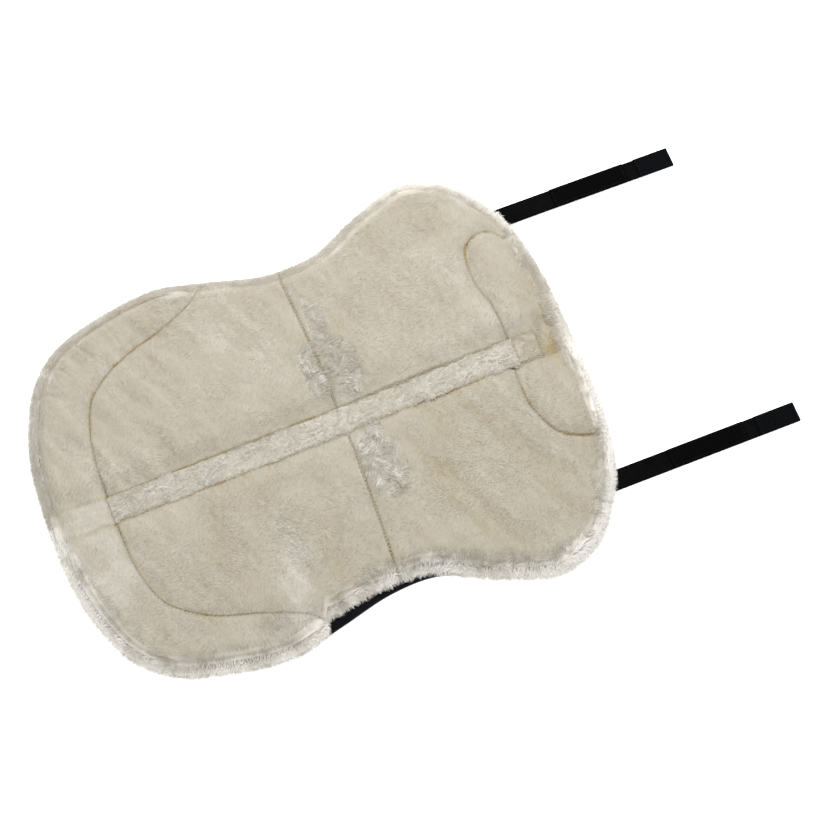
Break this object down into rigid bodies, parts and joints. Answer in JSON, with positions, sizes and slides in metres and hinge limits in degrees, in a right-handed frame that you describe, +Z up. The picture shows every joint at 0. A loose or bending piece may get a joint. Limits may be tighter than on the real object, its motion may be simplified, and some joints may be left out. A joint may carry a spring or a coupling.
{
  "type": "fleece saddle half pad",
  "caption": "Fleece-lined saddle half pad, black quilted cotton underneath, hinged along its spine, with two touch-fastening webbing straps at the withers end.",
  "frame": {"origin": "on the underside of the spine tape, half-way along the pad, on its centre line", "axes": "+X along the spine towards the withers end, where the straps leave; +Y towards the left half as the pad lies fleece side up; +Z up, out of the fleece side"},
  "size_m": [0.7133, 0.4256, 0.0213],
  "materials": {
    "fleece": "matte",
    "trimmed_fleece": "matte",
    "rim_fleece": "matte",
    "foam": "matte",
    "cotton": "matte",
    "webbing": "satin",
    "loop_tape": "matte",
    "hook_tape": "satin"
  },
  "bodies": {
    "spine": {"spine_tape": "webbing", "spine_rear_fleece": "fleece", "spine_strip": "trimmed_fleece", "spine_square": "trimmed_fleece", "spine_front_fleece": "fleece"},
    "left_half": {"left_cotton_cover": "cotton", "left_flank_binding": "cotton", "left_rear_foam": "foam", "left_front_foam": "foam", "left_wither_foam": "foam", "left_rear_riser_foam": "foam", "left_rear_fleece": "fleece", "left_front_fleece": "fleece", "left_wither_fleece": "fleece", "left_rear_band_fleece": "fleece", "left_rear_edge_roll": "rim_fleece", "left_front_edge_roll": "rim_fleece", "left_flank_edge_roll": "rim_fleece", "left_strap_anchor": "webbing"},
    "left_strap": {"left_strap_webbing": "webbing", "left_loop_tape": "loop_tape"},
    "left_strap_tip": {"left_tip_webbing": "webbing", "left_hook_tape": "hook_tape"},
    "right_half": {"right_cotton_cover": "cotton", "right_flank_binding": "cotton", "right_rear_foam": "foam", "right_front_foam": "foam", "right_wither_foam": "foam", "right_rear_riser_foam": "foam", "right_rear_fleece": "fleece", "right_front_fleece": "fleece", "right_wither_fleece": "fleece", "right_rear_band_fleece": "fleece", "right_rear_edge_roll": "rim_fleece", "right_front_edge_roll": "rim_fleece", "right_flank_edge_roll": "rim_fleece", "right_strap_anchor": "webbing"},
    "right_strap": {"right_strap_webbing": "webbing", "right_loop_tape": "loop_tape"},
    "right_strap_tip": {"right_tip_webbing": "webbing", "right_hook_tape": "hook_tape"}
  },
  "joints": [
    {"name": "left_half_fold", "type": "hinge", "parent": "spine", "child": "left_half", "pos_m": [0, 0.015, 0.0015], "axis": [1, 0, 0], "range_deg": [-75, 75]},
    {"name": "left_strap_swing", "type": "hinge", "parent": "left_half", "child": "left_strap", "pos_m": [0.256, 0.147, 0.0009], "axis": [0, 1, 0], "range_deg": [-90, 90]},
    {"name": "left_strap_tip_fold", "type": "hinge", "parent": "left_strap", "child": "left_strap_tip", "pos_m": [0.393, 0.147, 0.0042], "axis": [0, -1, 0], "range_deg": [-30, 175]},
    {"name": "right_half_fold", "type": "hinge", "parent": "spine", "child": "right_half", "pos_m": [0, -0.015, 0.0015], "axis": [-1, 0, 0], "range_deg": [-75, 75]},
    {"name": "right_strap_swing", "type": "hinge", "parent": "right_half", "child": "right_strap", "pos_m": [0.256, -0.147, 0.0009], "axis": [0, 1, 0], "range_deg": [-90, 90]},
    {"name": "right_strap_tip_fold", "type": "hinge", "parent": "right_strap", "child": "right_strap_tip", "pos_m": [0.393, -0.147, 0.0042], "axis": [0, -1, 0], "range_deg": [-30, 175]}
  ]
}
